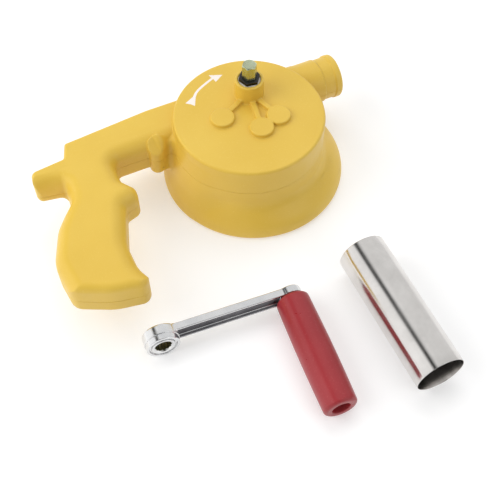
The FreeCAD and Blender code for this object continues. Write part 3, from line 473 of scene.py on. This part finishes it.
def mesh_solid(solid, xs, ys, zs, h=0.12):
    """Closed quad mesh of a solid: points in mm, faces, and normals at the points.

    Each grid cell that the surface crosses gets one point, moved onto the surface but not
    further than 0.7 of a cell. Each pair of grid points on both sides of it gets one face.
    """
    values = np.asarray(solid(xs[:, None, None], ys[None, :, None], zs[None, None, :]), float)
    inside = values < 0
    nx, ny, nz = values.shape
    corners = [(a, b, c) for a in (0, 1) for b in (0, 1) for c in (0, 1)]
    count = np.zeros((nx - 1, ny - 1, nz - 1), np.int8)
    for a, b, c in corners:
        count += inside[a:nx - 1 + a, b:ny - 1 + b, c:nz - 1 + c]
    active = (count > 0) & (count < 8)
    ci, cj, ck = np.nonzero(active)
    number = np.full(active.shape, -1, np.int64)
    number[ci, cj, ck] = np.arange(len(ci))
    total = np.zeros((len(ci), 3))
    weight = np.zeros(len(ci))
    for a, b, c in corners:
        for axis in range(3):
            if (a, b, c)[axis]:
                continue
            d = [a, b, c]
            d[axis] = 1
            va = values[ci + a, cj + b, ck + c]
            vb = values[ci + d[0], cj + d[1], ck + d[2]]
            cross = (va < 0) != (vb < 0)
            t = np.where(cross, va / np.where(cross, va - vb, 1), 0)
            pa = np.stack([xs[ci + a], ys[cj + b], zs[ck + c]], 1)
            pb = np.stack([xs[ci + d[0]], ys[cj + d[1]], zs[ck + d[2]]], 1)
            total += np.where(cross[:, None], pa + t[:, None] * (pb - pa), 0)
            weight += cross
    p = total / weight[:, None]
    cell = np.stack([np.diff(xs)[ci], np.diff(ys)[cj], np.diff(zs)[ck]], 1)
    start = p.copy()
    for _ in range(3):
        v = solid(*p.T)
        g = gradient(solid, p, h)
        p = p - g * (v / np.maximum((g * g).sum(1), 0.25))[:, None]
        p = start + np.clip(p - start, -0.7 * cell, 0.7 * cell)
    normal = gradient(solid, p, h)
    normal /= np.maximum(np.linalg.norm(normal, axis=1), 1e-9)[:, None]
    faces = []
    for axis in range(3):
        lo = [slice(None)] * 3
        hi = [slice(None)] * 3
        lo[axis] = slice(0, -1)
        hi[axis] = slice(1, None)
        change = inside[tuple(lo)] != inside[tuple(hi)]
        i, j, k = np.nonzero(change)
        idx = [i, j, k]
        u, w = (axis + 1) % 3, (axis + 2) % 3
        limit = active.shape
        ok = (idx[u] > 0) & (idx[w] > 0) & (idx[u] < limit[u]) & (idx[w] < limit[w])
        idx = [a[ok] for a in idx]
        quad = []
        for du, dw in ((-1, -1), (0, -1), (0, 0), (-1, 0)):
            at = [a.copy() for a in idx]
            at[u] = at[u] + du
            at[w] = at[w] + dw
            quad.append(number[at[0], at[1], at[2]])
        quad = np.stack(quad, 1)
        out = inside[idx[0], idx[1], idx[2]]
        faces.append(np.where(out[:, None], quad, quad[:, ::-1]))
    return p, np.concatenate(faces), normal


def add_mesh(name, points, faces, normals=None, place=None):
    """Mesh object from points in mm, put in place by a 4x4 matrix in metres if given."""
    mesh = bpy.data.meshes.new(name)
    mesh.vertices.add(len(points))
    mesh.vertices.foreach_set("co", (np.asarray(points) * MM).astype(np.float32).ravel())
    faces = np.asarray(faces, np.int32)
    mesh.loops.add(faces.size)
    mesh.loops.foreach_set("vertex_index", faces.ravel())
    mesh.polygons.add(len(faces))
    starts = np.arange(0, faces.size, faces.shape[1], dtype=np.int32)
    mesh.polygons.foreach_set("loop_start", starts)
    mesh.update(calc_edges=True)
    mesh.validate()
    if place is not None:
        mesh.transform(place)
        if normals is not None:
            normals = np.asarray(normals) @ np.array(place.to_3x3()).T
    mesh.polygons.foreach_set("use_smooth", np.ones(len(mesh.polygons), bool))
    if normals is not None:
        mesh.normals_split_custom_set_from_vertices([tuple(n) for n in normals])
    obj = bpy.data.objects.new(name, mesh)
    bpy.context.scene.collection.objects.link(obj)
    return obj


def lathe(name, profile, place, segments=160, sharp=40.0):
    """Closed ring of the (radius, height) profile turned about the local z axis."""
    profile = np.array(profile, float)
    turn = np.linspace(0, 2 * math.pi, segments, endpoint=False)
    ring = np.stack([np.cos(turn), np.sin(turn)], 1)
    points = np.concatenate([np.column_stack([ring * r, np.full(segments, z)]) for r, z in profile])
    faces = []
    k = np.arange(segments)
    after = (k + 1) % segments
    for i in range(len(profile)):
        a, b = i * segments, ((i + 1) % len(profile)) * segments
        faces.append(np.stack([a + k, a + after, b + after, b + k], 1))
    obj = add_mesh(name, points, np.concatenate(faces), place=place)
    obj.data.set_sharp_from_angle(angle=math.radians(sharp))
    return obj


def arc(centre, radius, start, end, count):
    """Points of a profile on an arc, from one angle to another in degrees."""
    angles = np.radians(np.linspace(start, end, count))
    return [(centre[0] + radius * math.cos(a), centre[1] + radius * math.sin(a)) for a in angles]


# ---------------------------------------------------------------- materials
def shader(name):
    material = bpy.data.materials.new(name)
    material.use_nodes = True
    tree = material.node_tree
    return material, tree, tree.nodes["Principled BSDF"]


def noise(tree, scale, detail=2.0, rough=0.5, stretch=None):
    """Noise in the piece's own frame, with its scale per metre; stretch scales each axis."""
    where = tree.nodes.new("ShaderNodeTexCoord").outputs["Object"]
    if stretch:
        mapping = tree.nodes.new("ShaderNodeMapping")
        mapping.inputs["Scale"].default_value = stretch
        tree.links.new(where, mapping.inputs["Vector"])
        where = mapping.outputs["Vector"]
    node = tree.nodes.new("ShaderNodeTexNoise")
    node.inputs["Scale"].default_value = scale
    node.inputs["Detail"].default_value = detail
    node.inputs["Roughness"].default_value = rough
    tree.links.new(where, node.inputs["Vector"])
    return node.outputs["Fac"]


def span(tree, value, low, high, out_low, out_high):
    """Map a value from one range to another, held at both ends."""
    node = tree.nodes.new("ShaderNodeMapRange")
    node.inputs["From Min"].default_value = low
    node.inputs["From Max"].default_value = high
    node.inputs["To Min"].default_value = out_low
    node.inputs["To Max"].default_value = out_high
    tree.links.new(value, node.inputs["Value"])
    return node.outputs["Result"]


def blend(tree, factor, a, b):
    """Mix two colours; each is a colour or the output of another mix."""
    node = tree.nodes.new("ShaderNodeMix")
    node.data_type = "RGBA"
    tree.links.new(factor, node.inputs["Factor"])
    for socket, colour in ((node.inputs[6], a), (node.inputs[7], b)):
        if isinstance(colour, (tuple, list)):
            socket.default_value = (*colour, 1.0)
        else:
            tree.links.new(colour, socket)
    return node.outputs[2]


def bump(tree, bsdf, layers):
    """Stack of bumps; each layer is (height, strength, distance in metres)."""
    normal = None
    for height, strength, distance in layers:
        node = tree.nodes.new("ShaderNodeBump")
        node.inputs["Strength"].default_value = strength
        node.inputs["Distance"].default_value = distance
        tree.links.new(height, node.inputs["Height"])
        if normal is not None:
            tree.links.new(normal, node.inputs["Normal"])
        normal = node.outputs["Normal"]
    tree.links.new(normal, bsdf.inputs["Normal"])


def edge_wear(tree):
    """0 on flat and hollow places, 1 on sharp outer edges."""
    node = tree.nodes.new("ShaderNodeNewGeometry")
    return span(tree, node.outputs["Pointiness"], 0.52, 0.60, 0.0, 1.0)


def moulded(name, main, second, worn, rough, grain=0.05):
    """Moulded plastic: cloudy colour, fine spark-eroded grain, faint sink marks, rubbed edges."""
    material, tree, bsdf = shader(name)
    cloud = span(tree, noise(tree, 22, 3), 0.35, 0.65, 0, 1)
    colour = blend(tree, cloud, main, second)
    fleck = span(tree, noise(tree, 900, 2), 0.60, 0.80, 0.0, 0.35)
    colour = blend(tree, fleck, colour, worn)
    colour = blend(tree, span(tree, edge_wear(tree), 0, 1, 0, 0.55), colour, worn)
    tree.links.new(colour, bsdf.inputs["Base Color"])
    rub = noise(tree, 70, 4, 0.6)
    tree.links.new(span(tree, rub, 0.3, 0.7, rough - 0.06, rough + 0.07), bsdf.inputs["Roughness"])
    sinks, sparks = noise(tree, 30, 1), noise(tree, 1100, 3, 0.6)
    bump(tree, bsdf, [(sinks, 0.10, 0.0012), (sparks, grain, 0.0003)])
    return material


def metal(name, main, second, rough, spread=0.06, stretch=None, lines=0.0, pits=0.04, scale=240):
    """Plated or bare metal: patchy tone and roughness, fine lines or pits."""
    material, tree, bsdf = shader(name)
    patch = span(tree, noise(tree, 60, 4, 0.6), 0.35, 0.65, 0, 1)
    tree.links.new(blend(tree, patch, main, second), bsdf.inputs["Base Color"])
    bsdf.inputs["Metallic"].default_value = 1.0
    smear = noise(tree, scale, 3, 0.6, stretch)
    tree.links.new(span(tree, smear, 0.3, 0.7, max(rough - spread, 0.03), rough + spread),
                   bsdf.inputs["Roughness"])
    layers = [(noise(tree, 700, 2), pits, 0.0002)]
    if lines:
        layers.append((smear, lines, 0.0002))
    bump(tree, bsdf, layers)
    return material


def painted_mark(name):
    """Thin white print, rubbed through to the yellow plastic in places."""
    material, tree, bsdf = shader(name)
    rubbed = span(tree, noise(tree, 420, 4, 0.7), 0.60, 0.72, 0, 0.8)
    colour = blend(tree, rubbed, (0.93, 0.86, 0.80), (0.80, 0.56, 0.20))
    tree.links.new(colour, bsdf.inputs["Base Color"])
    tree.links.new(span(tree, noise(tree, 200, 2), 0.3, 0.7, 0.45, 0.6), bsdf.inputs["Roughness"])
    bump(tree, bsdf, [(noise(tree, 900, 3), 0.10, 0.0002)])
    return material


YELLOW = moulded("moulded_yellow", (0.735, 0.485, 0.062), (0.765, 0.515, 0.072),
                 (0.84, 0.62, 0.15), 0.40)
RED = moulded("moulded_red", (0.300, 0.018, 0.024), (0.350, 0.026, 0.032),
              (0.50, 0.10, 0.10), 0.33, 0.06)
BLACK = moulded("moulded_black", (0.018, 0.018, 0.020), (0.030, 0.030, 0.033),
                (0.07, 0.07, 0.075), 0.5, 0.1)
PALE = moulded("natural_nylon", (0.70, 0.66, 0.56), (0.62, 0.58, 0.52),
               (0.80, 0.78, 0.70), 0.42, 0.05)
GEAR = moulded("greased_nylon", (0.74, 0.72, 0.64), (0.64, 0.60, 0.48),
               (0.82, 0.80, 0.74), 0.30, 0.05)
CHROME = metal("pressed_chrome", (0.80, 0.80, 0.80), (0.70, 0.71, 0.72), 0.16, 0.07, pits=0.08)
STAINLESS = metal("polished_tube", (0.74, 0.72, 0.70), (0.66, 0.64, 0.62), 0.17, 0.06,
                  stretch=(12.0, 0.35, 12.0), lines=0.05, pits=0.02, scale=90)
SAGE = metal("passivated_zinc", (0.60, 0.68, 0.50), (0.46, 0.50, 0.33), 0.28, 0.10,
             pits=0.25, scale=500)
OXIDE = metal("black_oxide", (0.040, 0.040, 0.045), (0.065, 0.062, 0.060), 0.25, 0.06, pits=0.10)
SHEET = metal("galvanised_sheet", (0.60, 0.62, 0.64), (0.48, 0.50, 0.53), 0.38, 0.10)
BRONZE = metal("oiled_bronze", (0.55, 0.36, 0.17), (0.44, 0.28, 0.12), 0.34, 0.08)
STEEL = metal("ground_steel", (0.66, 0.66, 0.67), (0.58, 0.58, 0.60), 0.22, 0.06)
ZINC = metal("zinc_plate", (0.64, 0.65, 0.68), (0.55, 0.56, 0.60), 0.28, 0.08, pits=0.08)
PRINT = painted_mark("rubbed_print")
# painted shade: dark metal for the crank arm's trough, standing in for the shade in that channel
PAINTED_TROUGH_SHADE = metal("trough_painted_shade", (0.20, 0.195, 0.21), (0.12, 0.115, 0.125), 0.30, 0.08, pits=0.15)
# painted shade: dark metal for the inside of the socket's hole, standing in for the shade there
PAINTED_BORE_SHADE = metal("bore_painted_shade", (0.22, 0.22, 0.15), (0.12, 0.11, 0.08), 0.35, 0.10, pits=0.30)
BY_SLOT = {"yellow_plastic": YELLOW, "red_plastic": RED, "crank_chrome": CHROME,
           "polished_stainless": STAINLESS, "passivated_zinc": SAGE, "blackened_steel": OXIDE,
           "pale_nylon": PALE, "gear_nylon": GEAR, "black_plastic": BLACK,
           "galvanised_sheet": SHEET, "bronze_bush": BRONZE, "bright_steel": STEEL,
           "zinc_screws": ZINC}

slot_of = {s["node"]: s["material_slot"] for s in record["subparts"]}
for node, obj in frame["nodes"].items():
    obj.data.materials.clear()
    obj.data.materials.append(BY_SLOT[slot_of[node]])


def finish_piece(obj, node, body, material):
    """Give a new piece its material, body and slot, and let it stand for its CAD node."""
    obj.data.materials.append(material)
    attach(obj, body)
    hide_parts(node)


# ---------------------------------------------------------------- housing halves
# finer where the edges are small: on the drum's face, at the nozzle and at the parting line
upper_x = steps((-163, -90, 1.25), (-90, -29, 1.4), (-29, 29, 0.74), (29, 66, 1.2),
                (66, 83.5, 0.9))
upper_y = steps((-94.5, -52, 1.25), (-52, -27, 1.15), (-27, 30, 0.74), (30, 66.5, 1.15))
upper_z = steps((35.2, 36.0, 0.4), (36.0, 37.2, 0.2), (37.2, 54.0, 0.95), (54.0, 61.5, 0.45),
                (61.5, 70.0, 0.85), (70.0, 73.0, 0.35))
lower_x = steps((-163, -90, 0.95), (-90, 66, 1.15), (66, 83.5, 0.7))
lower_y = steps((-94.5, 67.5, 1.0))
lower_z = steps((-1.0, 4.0, 0.6), (4.0, 22.0, 0.9), (22.0, 34.8, 0.9), (34.8, 36.0, 0.2),
                (36.0, 36.8, 0.4))
upper = add_mesh("upper_shell", *mesh_solid(upper_half, upper_x, upper_y, upper_z))
finish_piece(upper, "upper_housing", "housing", YELLOW)
lower = add_mesh("lower_shell", *mesh_solid(lower_half, lower_x, lower_y, lower_z))
finish_piece(lower, "lower_housing", "housing", YELLOW)

# ---------------------------------------------------------------- crank arm
# the crank handle's own frame: x along the arm, y up, z along the grip
grip_way = Vector(JOINTS["grip_spin"]["axis"]).normalized()
up = Vector((0, 0, 1))
arm_way = up.cross(grip_way).normalized()
crank_place = Matrix((arm_way, up, grip_way)).transposed().to_4x4()
crank_place.translation = Vector(JOINTS["grip_spin"]["pos_m"]) - arm_way * (ARM * MM)
lever_points, lever_faces, lever_normals = mesh_solid(
    crank_arm, steps((-12.6, 13, 0.32), (13, 79, 0.8), (79, 98.6, 0.5)),
    steps((-12.6, 12.6, 0.32)), steps((-0.8, 11.9, 0.32)), 0.06)
lever = add_mesh("crank_lever", lever_points, lever_faces, lever_normals, crank_place)
finish_piece(lever, "crank_arm", "crank", CHROME)

# painted shade: dark metal in the trough and in the socket's hole, where shade falls
lever.data.materials.append(PAINTED_TROUGH_SHADE)
lever.data.materials.append(PAINTED_BORE_SHADE)
along, across, deep = lever_points[lever_faces].mean(axis=1).T
_, facing_up, facing_grip = lever_normals[lever_faces].mean(axis=1).T
in_trough = ((np.abs(across) < TROUGH_HALF + TROUGH_EDGE) & (facing_up < 0.5) & (deep > 2.2)
             & (deep < 4.4) & (along > TROUGH_START) & (along < TROUGH_END + 0.2))
in_bore = ((np.hypot(along, across) < 5.6) & (deep > 0.3) & (deep < SOCKET_DEEP - 0.1)
           & (np.abs(facing_grip) < 0.8))
painted_shade_index = np.where(in_trough, 1, np.where(in_bore, 2, 0)).astype(np.int32)
lever.data.polygons.foreach_set("material_index", painted_shade_index)

# ---------------------------------------------------------------- shaft, collar and washer
shaft_place = Matrix.Translation((SHAFT[0] * MM, SHAFT[1] * MM, 0))
pin_side = steps((-6.2, 6.2, 0.2))
pin_mesh = mesh_solid(shaft_solid, pin_side, pin_side, steps((35.8, 70, 1.2), (70, 86.2, 0.2)), 0.05)
pin = add_mesh("hexagon_shaft", *pin_mesh, place=shaft_place)
finish_piece(pin, "crank_shaft", "drive", SAGE)
nut_side = steps((-7.8, 7.8, 0.2))
nut_mesh = mesh_solid(collar_solid, nut_side, nut_side, steps((71.2, 75.0, 0.19)), 0.05)
nut = add_mesh("collar_nut", *nut_mesh, place=shaft_place)
finish_piece(nut, "lock_nut", "drive", OXIDE)

WASHER_R, WASHER_LOW, WASHER_TOP = 7.5, 70.95, 71.55
washer_profile = ([(JOURNAL_R, WASHER_LOW), (WASHER_R, WASHER_LOW)]
                  + arc((7.45, 71.2), 0.25, -90, 90, 6)[1:]
                  + [(6.9, 71.45), (6.6, WASHER_TOP), (JOURNAL_R, WASHER_TOP)])
washer = lathe("seat_washer", washer_profile, shaft_place)
finish_piece(washer, "thrust_washer", "drive", PALE)

# ---------------------------------------------------------------- red grip
GRIP_R, GRIP_SWELL = 11.3, 0.5
GRIP_HOLE_R, GRIP_LOW, POCKET_FLOOR = 3.05, 6.6, 79.1
belly = [(GRIP_R + GRIP_SWELL * math.sin(math.pi * t), 9.0 + 76.7 * t)
         for t in np.linspace(0, 1, 40)]
grip_profile = ([(GRIP_HOLE_R, GRIP_LOW)] + arc((8.9, 9.0), 2.4, -90, 0, 9) + belly[1:-1]
                + arc((8.8, 85.6), 2.5, 0, 90, 10) + arc((6.7, 87.4), 0.7, 90, 180, 5)
                + [(5.95, 79.6), (5.6, POCKET_FLOOR), (GRIP_HOLE_R, POCKET_FLOOR)])
grip_place = crank_place @ Matrix.Translation((ARM * MM, 0, 0))
handle_grip = lathe("crank_grip", grip_profile, grip_place, 180)
finish_piece(handle_grip, "grip", "grip", RED)

# ---------------------------------------------------------------- outlet tube
TUBE_WALL = 0.6
LIP_R = 0.28
TUBE_PARTS = 12
low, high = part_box("outlet_tube")
tube_length = (high.y - low.y) / MM
tube_r = (high.x - low.x) / 2 / MM
tube_place = (Matrix.Translation(((low.x + high.x) / 2, high.y, (low.z + high.z) / 2))
              @ Matrix.Rotation(math.radians(90), 4, "X"))
levels = [tube_length * i / TUBE_PARTS for i in range(1, TUBE_PARTS)]
tube_profile = (arc((tube_r - LIP_R, LIP_R), LIP_R, 180, 360, 7)
                + [(tube_r, level) for level in levels]
                + arc((tube_r - LIP_R, tube_length - LIP_R), LIP_R, 0, 180, 7)
                + [(tube_r - TUBE_WALL, level) for level in reversed(levels)])
tube = lathe("blow_tube", tube_profile, tube_place, 256)
finish_piece(tube, "outlet_tube", "tube", STAINLESS)

# ---------------------------------------------------------------- printed arrow
STEM_HALF = 0.85
PRINT_HALF = 0.05


def arrow_outline():
    """Curved arrow beside the drum's edge: flared notched tail, thin stem, triangular head."""
    tail = [(-29.0, 31.2), (-36.1, 27.7), (-32.9, 25.3), (-31.0, 22.7), (-27.4, 29.9)]
    spine = [(-27.9, 31.0), (-25.6, 33.6), (-22.4, 35.9), (-18.4, 37.9), (-14.2, 39.8), (-9.6, 41.7)]
    head = [(-10.6, 45.6), (-1.6, 41.9), (-8.6, 37.6)]
    left, right = [], []
    for i in range(1, len(spine)):
        ax, ay = spine[i - 1]
        bx, by = spine[min(i + 1, len(spine) - 1)]
        length = math.hypot(bx - ax, by - ay)
        nx, ny = -(by - ay) / length * STEM_HALF, (bx - ax) / length * STEM_HALF
        left.append((spine[i][0] + nx, spine[i][1] + ny))
        right.append((spine[i][0] - nx, spine[i][1] - ny))
    return tail[4:] + right + head[::-1] + left[::-1] + tail[:4]


outline = arrow_outline()
count = len(outline)
arrow_points = [(x * MM, y * MM, level * MM) for level in (DISC - PRINT_HALF, DISC + PRINT_HALF)
                for x, y in outline]
arrow_sides = [(i, (i + 1) % count, (i + 1) % count + count, i + count) for i in range(count)]
arrow_mesh = bpy.data.meshes.new("direction_arrow")
arrow_mesh.from_pydata(arrow_points, [], [list(range(count))[::-1], list(range(count, 2 * count))]
                       + arrow_sides)
arrow = bpy.data.objects.new("direction_arrow", arrow_mesh)
bpy.context.scene.collection.objects.link(arrow)
arrow.data.materials.append(PRINT)
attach(arrow, "housing")


# ---------------------------------------------------------------- floor
def pale_floor():
    """Pale and slightly bright; seen from below it is clear and shows what stands on it."""
    material, tree, bsdf = shader("pale_floor")
    bsdf.inputs["Base Color"].default_value = (0.72, 0.72, 0.72, 1)
    bsdf.inputs["Roughness"].default_value = 0.9
    bsdf.inputs["Specular IOR Level"].default_value = 0.2
    bsdf.inputs["Emission Color"].default_value = (1, 1, 1, 1)
    bsdf.inputs["Emission Strength"].default_value = 0.36
    clear = tree.nodes.new("ShaderNodeBsdfTransparent")
    side = tree.nodes.new("ShaderNodeNewGeometry")
    choice = tree.nodes.new("ShaderNodeMixShader")
    tree.links.new(side.outputs["Backfacing"], choice.inputs["Fac"])
    tree.links.new(bsdf.outputs["BSDF"], choice.inputs[1])
    tree.links.new(clear.outputs["BSDF"], choice.inputs[2])
    tree.links.new(choice.outputs["Shader"], tree.nodes["Material Output"].inputs["Surface"])
    return material


FLOOR_SIZE, FLOOR_GAP = 8.0, 0.0004         # metres; the gap keeps it off the flat undersides
bpy.ops.mesh.primitive_plane_add(size=FLOOR_SIZE, location=(0, 0, -FLOOR_GAP))
floor = bpy.context.object
floor.name = "floor"
floor.data.materials.append(pale_floor())

# ---------------------------------------------------------------- surroundings
world = bpy.data.worlds.new("studio")
bpy.context.scene.world = world
world.use_nodes = True
sky = world.node_tree
background = sky.nodes["Background"]
background.inputs["Color"].default_value = (1, 1, 1, 1)
sky_way = sky.nodes.new("ShaderNodeTexCoord").outputs["Generated"]


def towards(axis, low, high, out_low, out_high):
    """Brightness that changes with how far a direction points along an axis."""
    dot = sky.nodes.new("ShaderNodeVectorMath")
    dot.operation = "DOT_PRODUCT"
    dot.inputs[1].default_value = axis
    sky.links.new(sky_way, dot.inputs[0])
    return span(sky, dot.outputs["Value"], low, high, out_low, out_high)


def combine(operation, a, b):
    node = sky.nodes.new("ShaderNodeMath")
    node.operation = operation
    sky.links.new(a, node.inputs[0])
    sky.links.new(b, node.inputs[1])
    return node.outputs["Value"]


# brighter from the left and from the back, with a dark band that the tube mirrors lengthwise
left = towards((1, 0, 0), -0.9, 0.1, 1.10, 0.84)
front = towards((0, 1, 0), -0.9, 0.3, 0.58, 1.0)
BAND_TILT = math.radians(27)
BAND_AXIS = (math.cos(BAND_TILT), 0, math.sin(BAND_TILT))
BAND_DARK = 0.05
band = combine("MAXIMUM", towards(BAND_AXIS, -0.22, -0.05, 1.0, BAND_DARK),
               towards(BAND_AXIS, 0.05, 0.26, BAND_DARK, 1.0))
strength = combine("MULTIPLY", combine("MULTIPLY", left, front), band)
sky.links.new(strength, background.inputs["Strength"])


# ---------------------------------------------------------------- lights and camera
LIT_SPOT = (-0.03, -0.05, 0.03)


def aim(obj, location, target):
    """Add a light or camera to the scene, turned towards a target; in metres."""
    obj.location = location
    obj.rotation_euler = (Vector(target) - Vector(location)).to_track_quat("-Z", "Y").to_euler()
    bpy.context.scene.collection.objects.link(obj)


def softbox(name, location, size, power, glossy=False):
    light = bpy.data.lights.new(name, "AREA")
    light.shape = "RECTANGLE"
    light.size, light.size_y = size
    light.energy = power
    obj = bpy.data.objects.new(name, light)
    aim(obj, location, LIT_SPOT)
    obj.visible_glossy = glossy


softbox("key", (-0.85, 0.15, 0.75), (0.9, 0.9), 5.4)
softbox("top", (0.25, 0.55, 1.15), (1.1, 0.7), 3.6)
softbox("front", (0.45, -0.90, 0.60), (0.5, 0.5), 1.0, glossy=True)

camera = bpy.data.cameras.new("camera")
camera.lens = 61.98
camera.sensor_width = 36.0
camera.clip_start = 0.01
camera_obj = bpy.data.objects.new("camera", camera)
aim(camera_obj, (-0.17024, -0.36627, 0.5014), (-0.03099, -0.06764, 0.0))
bpy.context.scene.camera = camera_obj
bpy.context.scene.view_settings.view_transform = "Standard"
